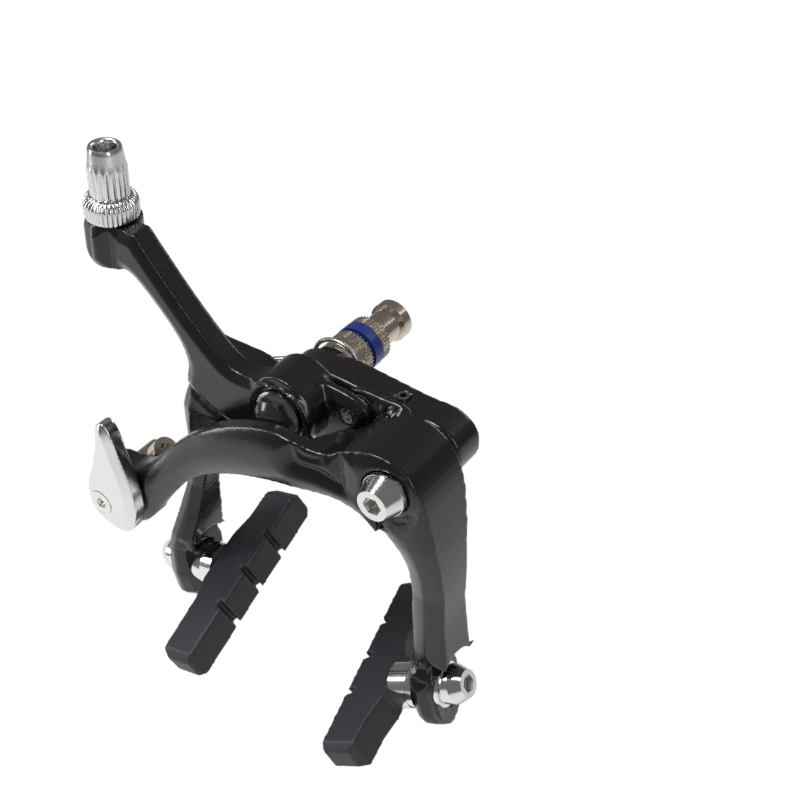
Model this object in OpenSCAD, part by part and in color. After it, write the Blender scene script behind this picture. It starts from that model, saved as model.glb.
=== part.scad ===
/* [Carrier] */
// Distance from centre bolt to side pivot, across
pivot_x = 32; // [31:0.5:33]
// Height of the side pivot, below the centre bolt
pivot_drop = 4.8; // [4:0.2:5.4]
// Thickness of the carrier, front to back
carrier_t = 8.6; // [8:0.2:9]

/* [Centre bolt] */
// Diameter of the centre bolt
bolt_d = 6; // [5:0.5:6.5]
// Outer diameter of the sleeve nut's tube
nut_tube_d = 8; // [7.6:0.1:8.4]
// Length of the sleeve nut's tube
nut_tube_l = 8; // [7.5:0.5:12]
// Outer diameter of the sleeve nut's flange
nut_flange_d = 10; // [9.4:0.2:11]
// Outer diameter of the serrated washers
serrated_d = 11.4; // [11:0.5:14]
// Number of serrations on the seat washers
serrations = 36; // [24:2:48]

/* [Cable adjuster] */
// Diameter of the adjuster's thread
thread_d = 6.8; // [6.4:0.1:7]
// Diameter of the knurled ring
ring_d = 12.5; // [11.5:0.1:13]
// Height of the knurled ring
ring_h = 5.4; // [4.5:0.1:6]
// Height of the barrel above its thread
barrel_h = 17.5; // [15:0.5:19]
// Diameter of the hole for the cable housing
housing_d = 5.2; // [5:0.1:5.4]
// Travel of the barrel in its thread
barrel_travel = 4; // [2:0.5:4]
// Knurls round the ring
ring_knurls = 30; // [20:2:40]

/* [Brake pads] */
// Length of a pad
pad_l = 53; // [48:1:54]
// Thickness of a pad, rim to arm
pad_t = 10; // [9:0.2:10.4]
// Height of a pad
pad_h = 8.6; // [7.8:0.2:9]
// Diameter of the pad's threaded stud
stud_d = 5; // [4.6:0.1:5.2]
// Width of the slot in each leg
slot_w = 6.2; // [5.8:0.1:6.4]
// How far a pad slides along its slot
pad_slide = 2; // [1:0.5:2]

/* [Hidden] */
$fn = 64;
fit_gap = 0.05;
side_pivot = [pivot_x, -pivot_drop];

// Stations along the centre bolt, front to back; the frame seat is y = 0
nut_front_y = -32;
washer_front_y = -28.6;
arm_front_y = -27.5;
carrier_front_y = -16;
carrier_back_y = carrier_front_y + carrier_t;
arm_back_y = carrier_front_y - 0.5;
spacer_front_y = -7;
spacer_back_y = -3;
bolt_back_y = 13;

// Big arm's stations
band_front_y = -37.5;
band_back_y = -32.4;
eye_front_y = -34;
lug_front_y = -18.6;
pin_pos = [14, 0.4];
pin_d = 3;
roller_d = 4.2;

// Cable adjuster: axis, lean to the right, and the top of the eye
eye_pos = [-46.4, -23.7, 34.6];
lean = 5;
eye_d = 13.4;
eye_h = 10.8;

// Quick release
lever_axis = [-48, -36];
lever_front_y = -43;
lever_back_y = -38.6;
boss_back_y = -29.6;
cam_d = 9;
anchor_y = -24.9;

// Pads: centre, then turn about Z, tilt about X and roll about Y of each
left_pad_at = [-24.9, -23.8, -65.6];
left_pad_turn = [3, 19, -15];
right_pad_at = [20.5, -22.5, -74.5];
right_pad_turn = [12, 8, -25];
left_stud_back = 3;
right_stud_back = -4.5;
// Tilt of each leg's pad boss, its thickness, and the distance from the pad's centre to it
left_boss_roll = 0;
right_boss_roll = -12;
left_boss_yaw = -2;
right_boss_yaw = 8;
left_boss_in = 14.6;
right_boss_in = 12.8;
boss_t = 6.2;
foot_d = 14.6;
slot_reach = pad_slide + 1.2;
pad_hump = 1.6;
cup_h = 2.4;
ball_r = 9;

// One point of a smooth closed curve through control points p, between points i and i + 1
function between(p, i, t) =
    let (n = len(p), a = p[(i + n - 1) % n], b = p[i], c = p[(i + 1) % n], d = p[(i + 2) % n])
    0.5 * (2 * b + (c - a) * t + (2 * a - 5 * b + 4 * c - d) * t * t
        + (3 * b - a - 3 * c + d) * t * t * t);
function smooth(p, steps = 4) =
    [for (i = [0:len(p) - 1]) for (s = [0:steps - 1]) between(p, i, s / steps)];

// A solid along Y from y0 to y1, whose outline is drawn in X and Z
module front_slab(y0, y1) {
    translate([0, y1, 0]) rotate([90, 0, 0]) linear_extrude(y1 - y0) children();
}
// A round bar along Y at [x, z]
module y_rod(at, d, y0, y1) {
    translate([at[0], y0, at[1]]) rotate([-90, 0, 0]) cylinder(d = d, h = y1 - y0);
}
// A washer or tube along Y
module y_ring(at, d, hole, y0, y1) {
    difference() {
        y_rod(at, d, y0, y1);
        y_rod(at, hole, y0 - 1, y1 + 1);
    }
}
// The pad's own frame: X from rim to arm on the right side, Y to the rear, Z up
module pad_frame(at, turn) {
    translate(at) rotate([0, 0, turn[0]]) rotate([turn[1], 0, 0]) rotate([0, turn[2], 0]) children();
}
// The stud's frame: +Z runs outward along the stud, from the pad's middle
module stud_frame(side) {
    if (side < 0)
        pad_frame(left_pad_at, left_pad_turn)
            translate([0, left_stud_back, 0]) rotate([0, -90, 0]) children();
    else
        pad_frame(right_pad_at, right_pad_turn)
            translate([0, right_stud_back, 0]) rotate([0, 90, 0]) children();
}
// The centre of the ball washers on each stud, worked out from the same turns
function turned(v, t) =
    let (a = [v[0] * cos(t[2]) + v[2] * sin(t[2]), v[1], v[2] * cos(t[2]) - v[0] * sin(t[2])],
        b = [a[0], a[1] * cos(t[1]) - a[2] * sin(t[1]), a[1] * sin(t[1]) + a[2] * cos(t[1])])
    [b[0] * cos(t[0]) - b[1] * sin(t[0]), b[0] * sin(t[0]) + b[1] * cos(t[0]), b[2]];
left_boss_at = left_pad_at + turned([-left_boss_in, left_stud_back, 0], left_pad_turn);
right_boss_at = right_pad_at + turned([right_boss_in, right_stud_back, 0], right_pad_turn);
// The leg's frame at the slot: +Z runs outward, square to the leg's faces
module boss_frame(side) {
    if (side < 0)
        translate(left_boss_at) rotate([0, 0, left_boss_yaw]) rotate([0, left_boss_roll, 0]) rotate([0, -90, 0]) children();
    else
        translate(right_boss_at) rotate([0, 0, right_boss_yaw]) rotate([0, right_boss_roll, 0]) rotate([0, 90, 0]) children();
}
// The flat foot at the end of a leg, round its slot
module leg_foot(side) boss_frame(side) linear_extrude(boss_t) stadium(slot_reach, foot_d);
// The slot in a leg and the flat seats on both its faces
module leg_cuts(side) {
    seat_d = foot_d + 2;
    reach = slot_reach;
    boss_frame(side) {
        for (z = [-9, boss_t])
            translate([0, 0, z]) linear_extrude(9) stadium(reach, seat_d);
        translate([0, 0, -1]) linear_extrude(boss_t + 2) stadium(reach, slot_w);
    }
}
// A slot's outline along X, with its round ends' centres at -reach and reach
module stadium(reach, d) {
    translate([-reach, -d / 2]) square([2 * reach, d]);
    for (e = [-reach, reach]) translate([e, 0]) circle(d = d);
}

module bracket() color([0.07, 0.07, 0.08]) {
    outline = [[-10.5, -4], [-8.4, 1.6], [-4, 4.2], [1, 5], [8, 4.6], [18, 3.2], [27, 1.9], [34, 1.4],
        [38.6, -2.6], [38.2, -9], [33, -13], [24, -12.6], [14, -9.6], [5, -9.6], [-5, -10]];
    difference() {
        front_slab(carrier_front_y, carrier_back_y) polygon(smooth(outline));
        y_rod([0, 0], bolt_d + 1.2 + 2 * fit_gap, carrier_front_y - 1, carrier_back_y + 1);
        y_rod(side_pivot, 6.1, carrier_front_y - 1, carrier_back_y + 1);
        translate([22, -11.6, -6]) cylinder(d = 3.1, h = 20);
    }
}

module centre_bolt() color([0.75, 0.72, 0.66]) {
    y_rod([0, 0], bolt_d, nut_front_y + 1.5, bolt_back_y);
    y_rod([0, 0], bolt_d + 1.2, carrier_front_y, carrier_back_y);
}

module cap_nut() color([0.05, 0.05, 0.06]) difference() {
    union() {
        translate([0, washer_front_y, 0]) rotate([90, 0, 0]) cylinder(d = 10.4, h = 2.2, $fn = 6);
        translate([0, washer_front_y - 2.2, 0]) rotate([90, 0, 0]) cylinder(d1 = 9, d2 = 6.4, h = 1.2);
    }
    y_rod([0, 0], bolt_d + 2 * fit_gap, nut_front_y + 1.4, washer_front_y + 1);
}

module front_washer() color([0.85, 0.85, 0.85])
    y_ring([0, 0], 11.6, bolt_d + 2 * fit_gap, washer_front_y, arm_front_y - 0.3);

module centre_bush() color([0.6, 0.5, 0.25])
    y_ring([0, 0], 8, bolt_d + 2 * fit_gap, arm_front_y - 0.25, arm_back_y);

module thrust_washer() color([0.8, 0.8, 0.8])
    y_ring([0, 0], 13, bolt_d + 2 * fit_gap, arm_back_y + 0.1, carrier_front_y);

module rear_spacer() color([0.72, 0.66, 0.58])
    y_ring([0, 0], 11, bolt_d + 2 * fit_gap, carrier_back_y, spacer_back_y);

// A disc with radial teeth round its edge
module serrated_disc(y0, y1) difference() {
    y_ring([0, 0], serrated_d, bolt_d + 2 * fit_gap, y0, y1);
    for (i = [0:serrations - 1])
        rotate([0, i * 360 / serrations, 0])
            translate([serrated_d / 2, (y0 + y1) / 2, 0]) rotate([0, 45, 0])
                cube([0.6, y1 - y0 + 1, 0.6], center = true);
}
module front_serrated_washer() color([0.70, 0.66, 0.58]) serrated_disc(spacer_back_y, 0);
module blue_ring() color([0.10, 0.15, 0.45])
    y_ring([0, 0], 11.6, bolt_d + 2 * fit_gap, 0.9, 3.9);
module rear_serrated_washer() color([0.70, 0.66, 0.58]) serrated_disc(3.9, 6.9);

module sleeve_nut() color([0.75, 0.70, 0.62]) {
    end_y = 7 + nut_tube_l;
    difference() {
        union() {
            y_rod([0, 0], nut_tube_d, 6.9, end_y);
            y_rod([0, 0], nut_tube_d - 1.2, end_y - 1.4, end_y - 0.4);
            y_rod([0, 0], nut_flange_d, end_y - 0.9, end_y + 1.6);
        }
        y_rod([0, 0], bolt_d + 2 * fit_gap, 6, bolt_back_y + 0.3);
        translate([0, end_y + 2, 0]) rotate([90, 0, 0]) cylinder(d = 5.8, h = 4, $fn = 6);
    }
}

module side_pivot_bolt() color([0.80, 0.76, 0.68]) difference() {
    union() {
        y_rod(side_pivot, 6, eye_front_y + 0.9, carrier_back_y);
        y_rod(side_pivot, 10.4, eye_front_y - 0.4, eye_front_y + 0.8);
        translate([side_pivot[0], eye_front_y - 0.4, side_pivot[1]]) rotate([90, 0, 0])
            cylinder(d1 = 10.2, d2 = 7.4, h = 4);
    }
    translate([side_pivot[0], eye_front_y - 1.6, side_pivot[1]]) rotate([90, 0, 0])
        cylinder(d = 4.6, h = 4, $fn = 6);
}
module pivot_bush() color([0.6, 0.5, 0.25])
    y_ring(side_pivot, 8, 6 + 2 * fit_gap, eye_front_y + 1, arm_back_y);
module pivot_washer() color([0.8, 0.8, 0.8])
    y_ring(side_pivot, 12, 6 + 2 * fit_gap, arm_back_y + 0.1, carrier_front_y);

module centring_screw() color([0.3, 0.3, 0.32])
    translate([22, -11.6, -6]) difference() {
        cylinder(d = 3, h = 9);
        translate([0, 0, 7.5]) cylinder(d = 1.8, h = 2, $fn = 6);
    }

// Spring wire: an anchored leg on the carrier's back, a coil round the bolt and a free leg
module return_spring() color([0.65, 0.65, 0.66]) {
    coil_y = -6.2;
    translate([0, coil_y, 0]) rotate([-90, 0, 0]) rotate_extrude() translate([6.6, 0]) circle(d = 1.1);
    translate([6.6, coil_y, 0]) rotate([0, 115, 0]) cylinder(d = 1.1, h = 21);
    translate([-6.6, coil_y, 0]) rotate([0, -112, 0]) cylinder(d = 1.1, h = 15);
}

module y_arm() color([0.06, 0.06, 0.07]) {
    strut = [[-47, 33], [-48.6, 27], [-45, 24], [-40.5, 23.8], [-36.8, 21], [-31.6, 15.2],
        [-27.6, 9.4], [-26.2, 4], [-26.6, -3], [-14, -9.5], [0, -9], [7.5, -5], [8.6, 1], [5.2, 6], [-3, 7],
        [-9.5, 6.4], [-14, 7.4], [-18, 10.8], [-22.8, 15.8], [-28.4, 22.6], [-34, 30], [-38, 35], [-43, 36.4]];
    leg = [[-8, 4], [-20, 6], [-26, 5.6], [-27.6, -1.5], [-30.2, -7.2], [-32.4, -13.7], [-34.5, -21], [-37.4, -32],
        [-40.4, -44], [-43.4, -55], [-46.4, -65], [-47.4, -75], [-46.4, -79.6], [-43, -80.8], [-39.8, -78],
        [-38.2, -66], [-35.8, -52], [-34.4, -42], [-31.5, -33], [-28, -25], [-22, -17.5], [-14, -11.5], [-4, -8]];
    side = [[arm_front_y, 10], [arm_front_y, -10], [-25, -20], [-22.6, -30], [-22.8, -40],
        [-25, -48], [-27.4, -56], [-28, -70], [-27, -76], [-24, -80], [-20, -81], [-16, -77.5], [-13.8, -70],
        [-14.2, -56], [-15, -44], [arm_back_y, -30], [arm_back_y, 10]];
    tail = [[2, -8.5], [7, -11.6], [12.5, -11], [16, -7.6], [18, -2.6], [18.4, 2.4], [14.6, 4.9], [8, 6], [2, 7]];
    difference() {
        union() {
            intersection() {
                front_slab(-28.6, -22) polygon(smooth(strut));
                front_slab(-40, 0) translate([-60, -12]) square([80, 48]);
            }
            intersection() {
                front_slab(-35, -10) polygon(smooth(leg));
                rotate([90, 0, 90]) translate([0, 0, -60]) linear_extrude(60) polygon(side);
            }
            y_rod([0, 0], 18, arm_front_y, arm_back_y);
            front_slab(-21.6, lug_front_y - 0.3) polygon(smooth(tail));
            leg_foot(-1);
            translate(eye_pos) rotate([0, lean, 0]) translate([0, 0, -eye_h]) cylinder(d = eye_d, h = eye_h);
        }
        // the hub's face for the nut and washer, and the way past the big arm's lug
        y_rod([0, 0], 14, -40, arm_front_y);
        front_slab(lug_front_y - 0.3, -10) translate([7.4, -12]) square([20, 24]);
        y_rod([0, 0], 8 + 2 * fit_gap, -40, 0);
        translate(eye_pos) rotate([0, lean, 0]) {
            translate([0, 0, -20]) cylinder(d = thread_d + 0.1, h = 30);
            cylinder(d = 30, h = 20);
            translate([0, 0, -eye_h - 20]) cylinder(d = 16, h = 20);
        }
        y_rod(pin_pos, pin_d + 2 * fit_gap, -25, -10);
        leg_cuts(-1);
    }
}

module link_pin() color([0.8, 0.8, 0.8]) difference() {
    y_rod(pin_pos, pin_d, -21.8, arm_back_y - 0.2);
    translate([pin_pos[0], -20.8, pin_pos[1]]) rotate([90, 0, 0]) cylinder(d = 1.8, h = 4, $fn = 6);
}
module link_roller() color([0.85, 0.85, 0.8])
    y_ring(pin_pos, roller_d, pin_d + 2 * fit_gap, lug_front_y + 0.1, arm_back_y - 0.3);

module c_arm() color([0.06, 0.06, 0.07]) {
    face = [[-51, -43], [-45, -45], [-39, -42], [-33, -34], [-23, -23], [-11, -16.4], [2, -12.8],
        [12, -11.8], [20, -12.6], [26, -16.4], [30.6, -21.6], [33.2, -27], [33.6, -33], [33, -46],
        [32.6, -60], [33.6, -71], [36, -75.6], [39.6, -74.6], [42.2, -67], [41.8, -57], [41.6, -45], [42.2, -33],
        [42.2, -23], [41.4, -14], [40.2, -6], [37.6, -0.4], [33, 2.8], [27, 3.2], [21, 1.6], [15.6, -0.6], [5, 1.6],
        [-6, -0.8], [-17, -6.4], [-27, -14.6], [-35, -22.6], [-43, -28], [-51, -29.2], [-55, -36]];
    plan = [[-58, lever_back_y + 0.2], [-40, lever_back_y + 0.2], [-20, band_front_y], [8, band_front_y],
        [24, eye_front_y - 0.6], [38, eye_front_y], [53, -31.5], [53, arm_back_y], [36, arm_back_y],
        [20.6, arm_back_y], [20.6, -22.1], [15, -24], [11, band_back_y], [-36, band_back_y],
        [-42, boss_back_y], [-58, boss_back_y]];
    side = [[-40, 20], [-40, 2], [eye_front_y, 0], [-32.4, -20], [-30, -36], [-29.6, -52], [-29.8, -66],
        [-28.6, -71], [-26, -75], [-22.6, -76.6], [-18.8, -74], [-17, -68], [-17.4, -56], [-18.6, -40],
        [-18, -24], [arm_back_y, -12], [arm_back_y, 20]];
    lug = [[10, -4], [9.6, 1.6], [13.4, 4.6], [20, 4.4], [26, 3.8], [30, -2], [26, -9], [20, -7], [15, -5]];
    difference() {
        union() {
            intersection() {
                front_slab(-45, -10) polygon(smooth(face, 3));
                translate([0, 0, -90]) linear_extrude(110) polygon(plan);
                union() {
                    translate([-60, -60, -60]) cube([88, 60, 90]);
                    rotate([90, 0, 90]) translate([0, 0, 27]) linear_extrude(30)
                        polygon(side);
                }
            }
            front_slab(lug_front_y, arm_back_y) polygon(smooth(lug));
            y_rod(side_pivot, 14.4, eye_front_y, arm_back_y);
            y_rod(lever_axis, 13, lever_back_y + 0.2, boss_back_y);
            leg_foot(1);
        }
        y_rod(side_pivot, 8 + 2 * fit_gap, -60, 0);
        y_rod(side_pivot, 11.4, -60, eye_front_y + 0.9);
        y_rod(lever_axis, cam_d + 2 * fit_gap, -60, -10);
        // the slot that the link roller runs in
        front_slab(lug_front_y - 1, -10) {
            translate([pin_pos[0] - 1.2, pin_pos[1] - 2.35]) square([1.4, 4.7]);
            translate([pin_pos[0] - 1.2, pin_pos[1]]) circle(d = 4.7);
            translate([pin_pos[0] + 0.2, pin_pos[1]]) circle(d = 4.7);
        }
        leg_cuts(1);
    }
}

// Cable adjuster, in a frame on the eye's top with +Z up the barrel
module adjuster_frame() {
    translate(eye_pos) rotate([0, lean, 0]) children();
}
module barrel_adjuster() color([0.80, 0.80, 0.80]) adjuster_frame() difference() {
    union() {
        translate([0, 0, -12.4]) cylinder(d = thread_d, h = 12.4 + ring_h + 0.2);
        translate([0, 0, ring_h + 0.2]) cylinder(d = 9, h = 7.4);
        translate([0, 0, ring_h + 7.6]) cylinder(d1 = 9, d2 = 7.4, h = barrel_h - ring_h - 7.6);
    }
    translate([0, 0, 2]) cylinder(d = housing_d, h = 30);
    translate([0, 0, -20]) cylinder(d = 2.2, h = 40);
    for (i = [0:13]) rotate([0, 0, i * 360 / 14])
        translate([4.5, 0, ring_h + 3.6]) rotate([0, 0, 45]) cube([0.7, 0.7, 5.6], center = true);
}
module adjuster_ring() color([0.80, 0.80, 0.80]) adjuster_frame() difference() {
    translate([0, 0, 0.1]) cylinder(d = ring_d, h = ring_h);
    translate([0, 0, -1]) cylinder(d = thread_d + 0.1, h = ring_h + 3);
    for (i = [0:ring_knurls - 1]) rotate([0, 0, i * 360 / ring_knurls])
        translate([ring_d / 2, 0, ring_h / 2]) rotate([0, 0, 45]) cube([0.5, 0.5, ring_h + 1], center = true);
}

module qr_lever() color([0.80, 0.80, 0.79]) {
    ax = lever_axis[0];
    az = lever_axis[1];
    outline = [[ax - 5, az - 0.4], [ax - 3.8, az - 4.4], [ax + 0.2, az - 7.2], [ax + 5, az - 7.8],
        [ax + 8.6, az - 5.4], [ax + 10.4, az - 0.6], [ax + 10.6, az + 5], [ax + 9.6, az + 11], [ax + 8.2, az + 17],
        [ax + 7, az + 22.4], [ax + 5, az + 25], [ax + 2.6, az + 23.6], [ax + 1.2, az + 17.6],
        [ax - 1.6, az + 10], [ax - 4.2, az + 4.2]];
    difference() {
        front_slab(lever_front_y, lever_back_y) polygon(smooth(outline));
        y_rod(lever_axis, 4 + 2 * fit_gap, -60, -20);
        translate([ax, lever_front_y + 1.9, az]) rotate([90, 0, 0]) cylinder(d1 = 4.1, d2 = 6.9, h = 2);
    }
}
module qr_screw() color([0.80, 0.76, 0.68]) translate([lever_axis[0], 0, lever_axis[1]]) {
    difference() {
        union() {
            translate([0, lever_front_y + 1.8, 0]) rotate([90, 0, 0]) cylinder(d1 = 4, d2 = 6.6, h = 1.8);
            translate([0, lever_front_y + 1.8, 0]) rotate([-90, 0, 0]) cylinder(d = 4, h = 8);
        }
        translate([0, lever_front_y + 1.4, 0]) rotate([90, 0, 0]) cylinder(d = 3.4, h = 3, $fn = 6);
    }
}
// Eccentric shaft behind the lever, with the cross hole that the cable bolt turns in
module qr_cam() color([0.70, 0.68, 0.62]) difference() {
    y_rod(lever_axis, cam_d, lever_back_y, anchor_y + 4);
    y_rod(lever_axis, 4 + 2 * fit_gap, lever_back_y - 1, lever_front_y + 10.2);
    anchor_frame() translate([0, 0, -10]) cylinder(d = 5 + 2 * fit_gap, h = 20);
}
module qr_wave_washer() color([0.75, 0.75, 0.75])
    y_ring(lever_axis, 13, cam_d + 2 * fit_gap, boss_back_y + 0.1, boss_back_y + 0.6);
// Cable bolt's frame: +Z up and to the right along the bolt, from the cam's middle
module anchor_frame() {
    translate([lever_axis[0], anchor_y, lever_axis[1]]) rotate([0, 42, 0]) children();
}
module anchor_bolt() color([0.72, 0.66, 0.58]) anchor_frame() difference() {
    union() {
        translate([0, 0, -7.6]) cylinder(d = 5, h = 13);
        translate([0, 0, 5.2]) cylinder(d = 6.4, h = 4.4);
    }
    translate([0, 0, 8.2]) cylinder(d = 3.2, h = 3, $fn = 6);
}
module anchor_plate() color([0.72, 0.70, 0.66]) anchor_frame() difference() {
    translate([-3.6, -3.5, -6.8]) cube([7.2, 7, 1.4]);
    translate([0, 0, -8]) cylinder(d = 5 + 2 * fit_gap, h = 5);
}

// One pad, drawn for the right side: rim face at -X, its outer side bulging round the stud
module pad_block(stud_back) {
    l = pad_l / 2;
    t = pad_t / 2;
    s = stud_back;
    hump = t + pad_hump;
    plan = [[-t + 0.6, -l], [t - 2, -l], [t - 0.4, -l + 1.6], [t, s - 13], [hump, s - 7], [hump, s + 7],
        [t, s + 13], [t - 0.4, l - 1.6], [t - 2, l], [-t + 0.6, l], [-t, l - 0.8], [-t, -l + 0.8]];
    difference() {
        intersection() {
            translate([0, 0, -pad_h / 2]) linear_extrude(pad_h) polygon(plan);
            rotate([0, -90, 0]) translate([0, 0, -hump - 1]) linear_extrude(2 * hump + 2)
                polygon([[-pad_h / 2, -l + 2], [-pad_h / 2 + 1.6, -l], [pad_h / 2 - 1.6, -l],
                    [pad_h / 2, -l + 2], [pad_h / 2, l - 2], [pad_h / 2 - 1.6, l],
                    [-pad_h / 2 + 1.6, l], [-pad_h / 2, l - 2]]);
        }
        for (i = [-1:1]) translate([-t, i * 11 + 1, 0]) rotate([0, 0, 25])
            cube([4.4, 1.5, pad_h + 2], center = true);
        translate([0, s, 0]) rotate([0, 90, 0]) cylinder(d = stud_d + 2 * fit_gap, h = 20);
        translate([0, s, 0]) rotate([0, 90, 0]) cylinder(d = 7.1, h = 2.1, center = true);
    }
}
function stud_l(side) = (side < 0 ? left_boss_in : right_boss_in) + boss_t + 5.6;
module pad_stud(side) color([0.7, 0.7, 0.7]) stud_frame(side) {
    cylinder(d = 7, h = 2, center = true);
    cylinder(d = stud_d, h = stud_l(side));
}
function ball_h(side) = (side < 0 ? left_boss_in : right_boss_in) - pad_t / 2 - pad_hump - cup_h;
// Ball washer pair: the cup sits on the pad, the ball half on the leg's seat
module concave_washer(side) color([0.85, 0.85, 0.85]) difference() {
    stud_frame(side) translate([0, 0, pad_t / 2 + pad_hump + 0.05]) cylinder(d = 11.4, h = 5.2);
    boss_frame(side) translate([0, 0, ball_r - ball_h(side)]) sphere(r = ball_r, $fn = 48);
    boss_frame(side) translate([0, 0, -0.6]) cylinder(d = 30, h = 12);
    stud_frame(side) cylinder(d = stud_d + 2 * fit_gap, h = 20);
}
module convex_washer(side) color([0.85, 0.85, 0.85]) difference() {
    boss_frame(side) intersection() {
        translate([0, 0, ball_r - ball_h(side)]) sphere(r = ball_r - 0.05, $fn = 48);
        translate([0, 0, -8]) cylinder(d = 11.4, h = 7.95);
    }
    boss_frame(side) translate([0, 0, -8]) cylinder(d = 8, h = 12);
}
// The tilted stud crosses the leg's outer face this far along the slot
function stud_shift(side) = -(boss_t + 0.6)
    * tan(side < 0 ? left_boss_roll - left_pad_turn[2] : right_boss_roll - right_pad_turn[2]);
module plain_washer(side) color([0.82, 0.82, 0.80]) boss_frame(side)
    translate([stud_shift(side), 0, boss_t + 0.05]) difference() {
        cylinder(d = 11, h = 1.1);
        translate([0, 0, -1]) cylinder(d = 6.4, h = 4);
    }
module pad_nut(side) color([0.85, 0.82, 0.76]) difference() {
    stud_frame(side) translate([0, 0, stud_l(side) - 5.6]) {
        cylinder(d = 9.6, h = 4.2);
        translate([0, 0, 4.2]) cylinder(d1 = 9.6, d2 = 6.6, h = 3);
    }
    stud_frame(side) cylinder(d = stud_d + 2 * fit_gap, h = stud_l(side) + 0.1);
    stud_frame(side) translate([0, 0, stud_l(side) - 1]) cylinder(d = 4.4, h = 5, $fn = 6);
    boss_frame(side) translate([0, 0, -20]) cylinder(d = 30, h = 20 + boss_t + 1.2);
}

module left_pad() color([0.08, 0.08, 0.10]) pad_frame(left_pad_at, left_pad_turn)
    mirror([1, 0, 0]) pad_block(left_stud_back);
module left_pad_stud() pad_stud(-1);
module left_pad_nut() pad_nut(-1);
module left_plain_washer() plain_washer(-1);
module left_convex_washer() convex_washer(-1);
module left_concave_washer() concave_washer(-1);
module right_pad() color([0.08, 0.08, 0.10]) pad_frame(right_pad_at, right_pad_turn)
    pad_block(right_stud_back);
module right_pad_stud() pad_stud(1);
module right_pad_nut() pad_nut(1);
module right_plain_washer() plain_washer(1);
module right_convex_washer() convex_washer(1);
module right_concave_washer() concave_washer(1);

bracket();
centre_bolt();
cap_nut();
front_washer();
centre_bush();
thrust_washer();
rear_spacer();
front_serrated_washer();
blue_ring();
rear_serrated_washer();
sleeve_nut();
side_pivot_bolt();
pivot_bush();
pivot_washer();
centring_screw();
return_spring();
y_arm();
link_pin();
link_roller();
c_arm();
barrel_adjuster();
adjuster_ring();
qr_lever();
qr_screw();
qr_cam();
qr_wave_washer();
anchor_bolt();
anchor_plate();
left_pad();
left_pad_stud();
left_pad_nut();
left_plain_washer();
left_convex_washer();
left_concave_washer();
right_pad();
right_pad_stud();
right_pad_nut();
right_plain_washer();
right_convex_washer();
right_concave_washer();
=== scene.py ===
import bmesh
import bpy
import numpy as np
from mathutils import Matrix, Vector, kdtree


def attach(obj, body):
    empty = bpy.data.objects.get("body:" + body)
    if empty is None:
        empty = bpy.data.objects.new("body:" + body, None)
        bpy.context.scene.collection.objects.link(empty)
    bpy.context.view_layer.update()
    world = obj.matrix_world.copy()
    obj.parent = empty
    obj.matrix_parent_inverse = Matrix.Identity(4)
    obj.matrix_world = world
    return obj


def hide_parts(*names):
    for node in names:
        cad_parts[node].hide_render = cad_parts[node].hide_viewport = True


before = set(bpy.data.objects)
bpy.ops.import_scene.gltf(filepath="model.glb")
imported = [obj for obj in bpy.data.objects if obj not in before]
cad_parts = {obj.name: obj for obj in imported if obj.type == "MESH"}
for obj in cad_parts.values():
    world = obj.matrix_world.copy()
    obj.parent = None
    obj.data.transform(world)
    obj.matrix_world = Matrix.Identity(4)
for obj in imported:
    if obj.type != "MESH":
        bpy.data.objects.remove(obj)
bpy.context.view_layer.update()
MM = 0.001

# ---------------------------------------------------------------------------
# Stage. A pale floor well below the caliper, big soft boxes above and to both
# sides, and a camera high on the front right that looks down on both arms.
# ---------------------------------------------------------------------------
def view_camera():
    camera = bpy.data.cameras.new("view")
    camera.lens = 62.9
    camera.sensor_width = 36
    camera.clip_start = 0.01
    camera.clip_end = 20
    rig = bpy.data.objects.new("view", camera)
    right, up, back = (0.824, 0.5648, -0.0449), (-0.3046, 0.5085, 0.8054), (0.4777, -0.65, 0.591)
    place = Matrix.Identity(4)
    for column, axis in enumerate((right, up, back)):
        for row in range(3):
            place[row][column] = axis[row]
    place.translation = Vector((0.1673, -0.2106, 0.1823))
    rig.matrix_world = place
    bpy.context.scene.collection.objects.link(rig)
    bpy.context.scene.camera = rig


def soft_box(name, at, aim, size, watts, colour=(1, 1, 1)):
    lamp = bpy.data.lights.new(name, "AREA")
    lamp.shape = "RECTANGLE"
    lamp.size, lamp.size_y = size
    lamp.energy = watts
    lamp.color = colour
    rig = bpy.data.objects.new(name, lamp)
    rig.location = at
    rig.rotation_euler = (Vector(aim) - Vector(at)).to_track_quat("-Z", "Y").to_euler()
    bpy.context.scene.collection.objects.link(rig)


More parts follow.
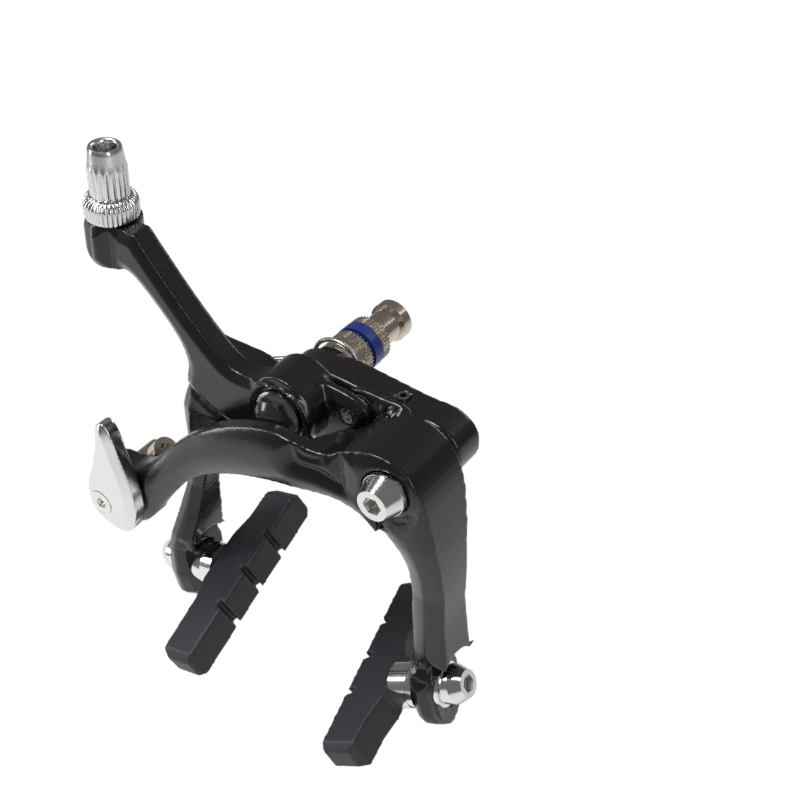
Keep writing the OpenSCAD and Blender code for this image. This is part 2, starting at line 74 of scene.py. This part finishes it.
def pale_stage():
    world = bpy.data.worlds.new("studio")
    bpy.context.scene.world = world
    world.use_nodes = True
    nodes, links = world.node_tree.nodes, world.node_tree.links
    sky = nodes["Background"]
    seen = nodes.new("ShaderNodeBackground")
    seen.inputs["Color"].default_value = (1, 1, 1, 1)
    seen.inputs["Strength"].default_value = 1.0
    sky.inputs["Color"].default_value = (1.0, 0.97, 0.98, 1)
    sky.inputs["Strength"].default_value = 0.16
    path = nodes.new("ShaderNodeLightPath")
    mix = nodes.new("ShaderNodeMixShader")
    links.new(path.outputs["Is Camera Ray"], mix.inputs["Fac"])
    links.new(sky.outputs[0], mix.inputs[1])
    links.new(seen.outputs[0], mix.inputs[2])
    links.new(mix.outputs[0], nodes["World Output"].inputs["Surface"])
    bpy.ops.mesh.primitive_plane_add(size=6, location=(0, 0, -0.16))
    floor = bpy.context.object
    floor.name = "floor"
    paint = bpy.data.materials.new("floor_paper")
    paint.use_nodes = True
    shader = paint.node_tree.nodes["Principled BSDF"]
    shader.inputs["Base Color"].default_value = (0.93, 0.93, 0.93, 1)
    shader.inputs["Roughness"].default_value = 0.9
    glow = paint.node_tree.nodes.new("ShaderNodeEmission")
    path = paint.node_tree.nodes.new("ShaderNodeLightPath")
    mix = paint.node_tree.nodes.new("ShaderNodeMixShader")
    wire = paint.node_tree.links.new
    wire(path.outputs["Is Camera Ray"], mix.inputs["Fac"])
    wire(shader.outputs[0], mix.inputs[1])
    wire(glow.outputs[0], mix.inputs[2])
    wire(mix.outputs[0], paint.node_tree.nodes["Material Output"].inputs["Surface"])
    floor.data.materials.append(paint)
    bpy.context.scene.view_settings.view_transform = "Standard"


view_camera()
pale_stage()
soft_box("top_box", (-0.15, -0.15, 0.55), (0, -0.02, -0.02), (0.34, 0.20), 3.0)
soft_box("left_box", (-0.6, -0.35, 0.2), (0, -0.02, -0.02), (0.12, 0.6), 1.8)
soft_box("right_box", (0.55, -0.3, 0.25), (0, -0.02, -0.03), (0.10, 0.5), 1.2)
soft_box("rear_box", (0.1, 0.55, 0.3), (0, 0, -0.03), (0.5, 0.12), 0.8)

# ---------------------------------------------------------------------------
# Carrier. A forged black link that spans the centre bolt and the side pivot;
# nickel-plated bolt, spacer, serrated washers and sleeve nut run through it.
# ---------------------------------------------------------------------------
def wear_group():
    """Grain, blotches and rubbed edges: a colour, a roughness and a height."""
    tree = bpy.data.node_groups.new("worn_surface", "ShaderNodeTree")
    face = tree.interface
    for name, kind in (("Colour", "NodeSocketColor"), ("Dark", "NodeSocketColor"),
                       ("Edge", "NodeSocketColor"), ("Grain Scale", "NodeSocketFloat"),
                       ("Stretch", "NodeSocketVector"), ("Edge Amount", "NodeSocketFloat"),
                       ("Rough Low", "NodeSocketFloat"), ("Rough High", "NodeSocketFloat")):
        face.new_socket(name=name, in_out="INPUT", socket_type=kind)
    for name, kind in (("Colour", "NodeSocketColor"), ("Roughness", "NodeSocketFloat"),
                       ("Height", "NodeSocketFloat")):
        face.new_socket(name=name, in_out="OUTPUT", socket_type=kind)
    nodes, links = tree.nodes, tree.links
    given, out = nodes.new("NodeGroupInput"), nodes.new("NodeGroupOutput")
    where = nodes.new("ShaderNodeTexCoord")
    stretched = nodes.new("ShaderNodeVectorMath")
    stretched.operation = "MULTIPLY"
    links.new(where.outputs["Object"], stretched.inputs[0])
    links.new(given.outputs["Stretch"], stretched.inputs[1])
    grain = nodes.new("ShaderNodeTexNoise")
    grain.inputs["Detail"].default_value = 4
    links.new(stretched.outputs[0], grain.inputs["Vector"])
    links.new(given.outputs["Grain Scale"], grain.inputs["Scale"])
    blotch = nodes.new("ShaderNodeTexNoise")
    blotch.inputs["Scale"].default_value = 140
    blotch.inputs["Detail"].default_value = 3
    links.new(where.outputs["Object"], blotch.inputs["Vector"])
    body = nodes.new("ShaderNodeMix")
    body.data_type = "RGBA"
    links.new(blotch.outputs["Fac"], body.inputs["Factor"])
    links.new(given.outputs["Colour"], body.inputs["A"])
    links.new(given.outputs["Dark"], body.inputs["B"])
    shape = nodes.new("ShaderNodeNewGeometry")
    ridge = nodes.new("ShaderNodeMapRange")
    ridge.inputs["From Min"].default_value = 0.53
    ridge.inputs["From Max"].default_value = 0.68
    links.new(shape.outputs["Pointiness"], ridge.inputs["Value"])
    broken = nodes.new("ShaderNodeMath")
    broken.operation = "MULTIPLY"
    links.new(ridge.outputs[0], broken.inputs[0])
    links.new(given.outputs["Edge Amount"], broken.inputs[1])
    rubbed = nodes.new("ShaderNodeMath")
    rubbed.operation = "MULTIPLY"
    links.new(broken.outputs[0], rubbed.inputs[0])
    links.new(grain.outputs["Fac"], rubbed.inputs[1])
    worn = nodes.new("ShaderNodeMix")
    worn.data_type = "RGBA"
    links.new(rubbed.outputs[0], worn.inputs["Factor"])
    links.new(body.outputs["Result"], worn.inputs["A"])
    links.new(given.outputs["Edge"], worn.inputs["B"])
    links.new(worn.outputs["Result"], out.inputs["Colour"])
    rough = nodes.new("ShaderNodeMapRange")
    rough.inputs["From Min"].default_value = 0.3
    rough.inputs["From Max"].default_value = 0.7
    links.new(grain.outputs["Fac"], rough.inputs["Value"])
    links.new(given.outputs["Rough Low"], rough.inputs["To Min"])
    links.new(given.outputs["Rough High"], rough.inputs["To Max"])
    links.new(rough.outputs[0], out.inputs["Roughness"])
    links.new(grain.outputs["Fac"], out.inputs["Height"])
    return tree


WEAR = wear_group()


def surfaced(name, colour, dark, edge, metallic=0.0, rough=(0.25, 0.35), grain=2500, stretch=(1, 1, 1),
             edge_amount=0.6, bump=0.08, depth=0.02, coat=0.0, coat_rough=0.1):
    """A procedural material: worn_surface feeds colour, roughness and bump; the rest is fixed."""
    made = bpy.data.materials.new(name)
    made.use_nodes = True
    nodes, links = made.node_tree.nodes, made.node_tree.links
    shader = nodes["Principled BSDF"]
    shader.inputs["Metallic"].default_value = metallic
    shader.inputs["Coat Weight"].default_value = coat
    shader.inputs["Coat Roughness"].default_value = coat_rough
    wear = nodes.new("ShaderNodeGroup")
    wear.node_tree = WEAR
    wear.inputs["Colour"].default_value = (*colour, 1)
    wear.inputs["Dark"].default_value = (*dark, 1)
    wear.inputs["Edge"].default_value = (*edge, 1)
    wear.inputs["Grain Scale"].default_value = grain
    wear.inputs["Stretch"].default_value = stretch
    wear.inputs["Edge Amount"].default_value = edge_amount
    wear.inputs["Rough Low"].default_value = rough[0]
    wear.inputs["Rough High"].default_value = rough[1]
    relief = nodes.new("ShaderNodeBump")
    relief.inputs["Strength"].default_value = bump
    relief.inputs["Distance"].default_value = depth * MM
    links.new(wear.outputs["Colour"], shader.inputs["Base Color"])
    links.new(wear.outputs["Roughness"], shader.inputs["Roughness"])
    links.new(wear.outputs["Height"], relief.inputs["Height"])
    links.new(relief.outputs["Normal"], shader.inputs["Normal"])
    return made


WELD = 0.002 * MM


def dress(node, material):
    """Gives a carried-over node its finished material."""
    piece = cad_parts[node]
    piece.data.materials.clear()
    piece.data.materials.append(material)


def moved(piece, points):
    piece.data.vertices.foreach_set("co", points.astype(np.float32).ravel())
    piece.data.update()


def points_of(piece):
    points = np.empty(len(piece.data.vertices) * 3, np.float32)
    piece.data.vertices.foreach_get("co", points)
    return points.reshape(-1, 3).astype(float)


def relaxed(piece, passes):
    """Evens out a surface, alternately shrinking and growing so that it keeps its size."""
    shrink, grow = 0.6, -0.56
    edges = np.empty(len(piece.data.edges) * 2, np.int32)
    piece.data.edges.foreach_get("vertices", edges)
    a, b = edges.reshape(-1, 2).T
    points = points_of(piece)
    count = np.bincount(a, minlength=len(points)) + np.bincount(b, minlength=len(points))
    count = np.maximum(count, 1)[:, None]
    for step in range(passes):
        total = np.zeros_like(points)
        for axis in range(3):
            total[:, axis] = np.bincount(a, points[b, axis], len(points)) \
                + np.bincount(b, points[a, axis], len(points))
        pull = shrink if step % 2 == 0 else grow
        points += pull * (total / count - points)
    moved(piece, points)


def front_rim(node, keep_clear=(), spacing=0.35 * MM):
    """Points along the sharp front outline of a node, away from the bores in keep_clear."""
    faces_front, faces_aside = -0.6, -0.55
    mesh = bmesh.new()
    mesh.from_mesh(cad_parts[node].data)
    bmesh.ops.remove_doubles(mesh, verts=mesh.verts, dist=WELD)
    mesh.normal_update()
    found = []
    for edge in mesh.edges:
        if len(edge.link_faces) != 2:
            continue
        facing = sorted(face.normal.y for face in edge.link_faces)
        if facing[0] > faces_front or facing[1] < faces_aside:
            continue
        p, q = (vert.co for vert in edge.verts)
        steps = max(1, int((q - p).length / spacing))
        for i in range(steps + 1):
            at = p.lerp(q, i / steps)
            if all((at.x - x) ** 2 + (at.z - z) ** 2 > r * r for x, z, r in keep_clear):
                found.append(at.copy())
    mesh.free()
    return found


def eased(piece, rim, width, depth, power):
    """Lowers the front surface towards its outline: power 1 is a flat bevel, 2 a crowned edge."""
    tree = kdtree.KDTree(len(rim))
    for i, at in enumerate(rim):
        tree.insert((at.x, 0, at.z), i)
    tree.balance()
    points = points_of(piece)
    for row in points:
        _, i, away = tree.find((row[0], 0, row[2]))
        if away < width:
            behind = max(0.0, row[1] - rim[i].y)
            row[1] += depth * (1 - away / width) ** power * max(0.0, 1 - behind / (3 * depth))
    moved(piece, points)


def forged(name, node, material, voxel, passes):
    """A smooth skin over a node's solid, with its edges and corners broken as forging leaves them."""
    piece = bpy.data.objects.new(name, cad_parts[node].data.copy())
    bpy.context.scene.collection.objects.link(piece)
    mesh = bmesh.new()
    mesh.from_mesh(piece.data)
    bmesh.ops.remove_doubles(mesh, verts=mesh.verts, dist=WELD)
    mesh.to_mesh(piece.data)
    mesh.free()
    remesh = piece.modifiers.new("skin", "REMESH")
    remesh.mode = "VOXEL"
    remesh.voxel_size = voxel * MM
    skin = bpy.data.meshes.new_from_object(piece.evaluated_get(bpy.context.evaluated_depsgraph_get()))
    piece.modifiers.clear()
    piece.data = skin
    skin.name = name
    relaxed(piece, passes)
    skin.materials.clear()
    skin.materials.append(material)
    skin.polygons.foreach_set("use_smooth", [True] * len(skin.polygons))
    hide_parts(node)
    return piece


black = surfaced("black_forged", (0.0052, 0.0042, 0.0050), (0.0085, 0.0068, 0.0080), (0.030, 0.026, 0.029),
                 rough=(0.20, 0.30), grain=2200, edge_amount=0.25, bump=0.06, depth=0.012, coat=0.15,
                 coat_rough=0.12)
nickel = surfaced("nickel_steel", (0.72, 0.64, 0.55), (0.60, 0.53, 0.45), (0.90, 0.84, 0.76), metallic=1.0,
                  rough=(0.14, 0.24), grain=900, stretch=(1, 3, 1), edge_amount=0.25, bump=0.04)
bright = surfaced("bright_steel", (0.86, 0.85, 0.83), (0.74, 0.73, 0.71), (0.97, 0.96, 0.95), metallic=1.0,
                  rough=(0.09, 0.18), grain=2600, bump=0.05)
carrier = forged("carrier_link", "bracket", black, 0.45, 8)
eased(carrier, front_rim("bracket"), 1.6 * MM, 0.6 * MM, 2)
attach(carrier, "carrier")
for each in ("centre_bolt", "rear_spacer", "front_serrated_washer", "rear_serrated_washer", "sleeve_nut"):
    dress(each, nickel)
for each in ("front_washer", "thrust_washer", "side_pivot_bolt", "pivot_washer"):
    dress(each, bright)
nut_black = surfaced("black_nut", (0.010, 0.010, 0.011), (0.016, 0.016, 0.017), (0.12, 0.12, 0.12),
                     rough=(0.16, 0.26), grain=2600, edge_amount=0.8, coat=0.5)
dress("cap_nut", nut_black)
blue = surfaced("blue_plastic", (0.010, 0.022, 0.16), (0.008, 0.016, 0.11), (0.03, 0.06, 0.30),
                rough=(0.25, 0.4), grain=1500, bump=0.1)
dress("blue_ring", blue)
dark_steel = surfaced("dark_steel", (0.20, 0.20, 0.21), (0.12, 0.12, 0.13), (0.5, 0.5, 0.5), metallic=1.0,
                      rough=(0.3, 0.45))
dress("centring_screw", dark_steel)
spring = surfaced("spring_steel", (0.60, 0.60, 0.61), (0.42, 0.42, 0.43), (0.8, 0.8, 0.8), metallic=1.0,
                  rough=(0.22, 0.36))
dress("return_spring", spring)

# ---------------------------------------------------------------------------
# Small arm. A forged black arm on the centre bolt, with the adjuster's eye up
# to the left, the left pad's leg below, and a pin and roller on its tail.
# ---------------------------------------------------------------------------
small_arm = forged("small_arm_forging", "y_arm", black, 0.42, 8)
eased(small_arm, front_rim("y_arm", ((0, 0, 10 * MM), (14 * MM, 0.4 * MM, 2.5 * MM))), 2.4 * MM, 1.2 * MM, 1)
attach(small_arm, "small_arm")
bronze = surfaced("bush_bronze", (0.55, 0.42, 0.20), (0.42, 0.31, 0.14), (0.8, 0.66, 0.4), metallic=1.0,
                  rough=(0.25, 0.4))
dress("centre_bush", bronze)
dress("link_pin", bright)
nylon = surfaced("roller_nylon", (0.78, 0.77, 0.70), (0.70, 0.69, 0.62), (0.85, 0.84, 0.8), rough=(0.4, 0.55))
dress("link_roller", nylon)

# ---------------------------------------------------------------------------
# Big arm. A forged black C that turns on the side pivot, with the release boss
# at its left end and the right pad's leg below the pivot.
# ---------------------------------------------------------------------------
big_arm = forged("big_arm_forging", "c_arm", black, 0.45, 8)
eased(big_arm, front_rim("c_arm", ((32 * MM, -4.8 * MM, 6.4 * MM), (-48 * MM, -36 * MM, 6.5 * MM))),
      6.5 * MM, 1.9 * MM, 2)
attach(big_arm, "big_arm")
dress("pivot_bush", bronze)
dress("qr_wave_washer", spring)

# ---------------------------------------------------------------------------
# Cable adjuster. Turned aluminium barrel with a fluted waist, and a knurled
# ring that turns on its thread to take up the cable.
# ---------------------------------------------------------------------------
silver = surfaced("silver_anodised", (0.80, 0.80, 0.80), (0.70, 0.70, 0.70), (0.95, 0.95, 0.95), metallic=1.0,
                  rough=(0.16, 0.28), grain=2600, stretch=(1, 1, 0.15), bump=0.12)
EYE_TOP = Vector((-46.4, -23.7, 34.6)) * MM
ADJUSTER_LEAN = 5


def turned(name, profile, ribs, steps, node, material):
    """A turned piece on the adjuster's axis. The profile's points are radius, height and rib depth."""
    around = ribs * steps
    angles = np.arange(around) * 2 * np.pi / around
    rib = np.abs(np.sin(angles * ribs / 2)) ** 0.8
    tilt = Matrix.Translation(EYE_TOP) @ Matrix.Rotation(np.radians(ADJUSTER_LEAN), 4, "Y")
    points = []
    for radius, height, depth in profile:
        reach = (radius - depth * (1 - rib)) * MM
        points += [tilt @ Vector((r * np.cos(t), r * np.sin(t), height * MM)) for r, t in zip(reach, angles)]
    faces = []
    rows = len(profile)
    for i in range(rows):
        j = (i + 1) % rows
        for k in range(around):
            m = (k + 1) % around
            faces.append((i * around + k, i * around + m, j * around + m, j * around + k))
    mesh = bpy.data.meshes.new(name)
    mesh.from_pydata(points, [], faces)
    mesh.polygons.foreach_set("use_smooth", [True] * len(faces))
    mesh.set_sharp_from_angle(angle=np.radians(38))
    mesh.materials.append(material)
    piece = bpy.data.objects.new(name, mesh)
    bpy.context.scene.collection.objects.link(piece)
    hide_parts(node)
    return piece


# the barrel: thread, step, fluted waist, smooth taper, rounded mouth and the housing's bore
BARREL = ((3.4, -12.0, 0), (3.4, 5.4, 0), (4.1, 5.6, 0), (4.4, 5.85, 0.3), (4.5, 6.3, 0.42),
          (4.5, 11.4, 0.42), (4.46, 12.3, 0.36), (4.34, 12.9, 0.12), (4.2, 13.4, 0), (4.02, 14.8, 0),
          (3.84, 16.4, 0), (3.74, 17.1, 0), (3.58, 17.4, 0), (3.3, 17.5, 0), (2.95, 17.42, 0),
          (2.7, 17.15, 0), (2.6, 16.7, 0), (2.6, 2, 0), (1.1, 2, 0), (1.1, -12.2, 0), (3.1, -12.35, 0))
barrel = turned("adjuster_barrel", BARREL, 16, 12, "barrel_adjuster", silver)
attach(barrel, "barrel")
# the ring: fine knurls round the outside and coarse rounded notches on its top bevel
RING = ((3.47, 0.1, 0), (5.5, 0.1, 0), (6.0, 0.35, 0.1), (6.22, 0.7, 0.3), (6.25, 1.1, 0.36),
        (6.25, 3.5, 0.36), (6.22, 3.9, 0.36), (6.05, 4.35, 0.4), (5.7, 4.9, 0.5), (5.2, 5.3, 0.35),
        (4.8, 5.45, 0.1), (4.4, 5.5, 0), (3.47, 5.5, 0))
ring = turned("knurled_ring", RING, 34, 6, "adjuster_ring", silver)
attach(ring, "adjuster")

# ---------------------------------------------------------------------------
# Quick release. A polished aluminium lever on an eccentric shaft, held by a
# countersunk screw; the cable's anchor bolt crosses the shaft behind the boss.
# ---------------------------------------------------------------------------
polished = surfaced("polished_lever", (0.84, 0.84, 0.83), (0.76, 0.76, 0.76), (0.96, 0.96, 0.95), metallic=1.0,
                    rough=(0.14, 0.24), grain=1800, stretch=(1, 1, 0.1), bump=0.10)
lever = forged("release_lever", "qr_lever", polished, 0.3, 6)
eased(lever, front_rim("qr_lever", ((-48 * MM, -36 * MM, 4.2 * MM),)), 2.2 * MM, 1.2 * MM, 1)
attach(lever, "quick_release")
dress("qr_screw", bright)
for each in ("qr_cam", "anchor_bolt", "anchor_plate"):
    dress(each, nickel)

# ---------------------------------------------------------------------------
# Brake pads. Moulded rubber blocks with three slanted slots on the rim face;
# bright cup washers and a domed socket nut clamp each stud in its leg.
# ---------------------------------------------------------------------------
rubber = surfaced("pad_rubber", (0.017, 0.018, 0.024), (0.026, 0.027, 0.034), (0.05, 0.05, 0.06),
                  rough=(0.42, 0.58), grain=1600, edge_amount=0.5, bump=0.25, depth=0.03)
for side in ("left", "right"):
    pad = forged(side + "_pad_block", side + "_pad", rubber, 0.4, 8)
    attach(pad, side + "_pad_shoe")
    for each in ("pad_stud", "pad_nut", "plain_washer", "convex_washer", "concave_washer"):
        dress(side + "_" + each, bright)
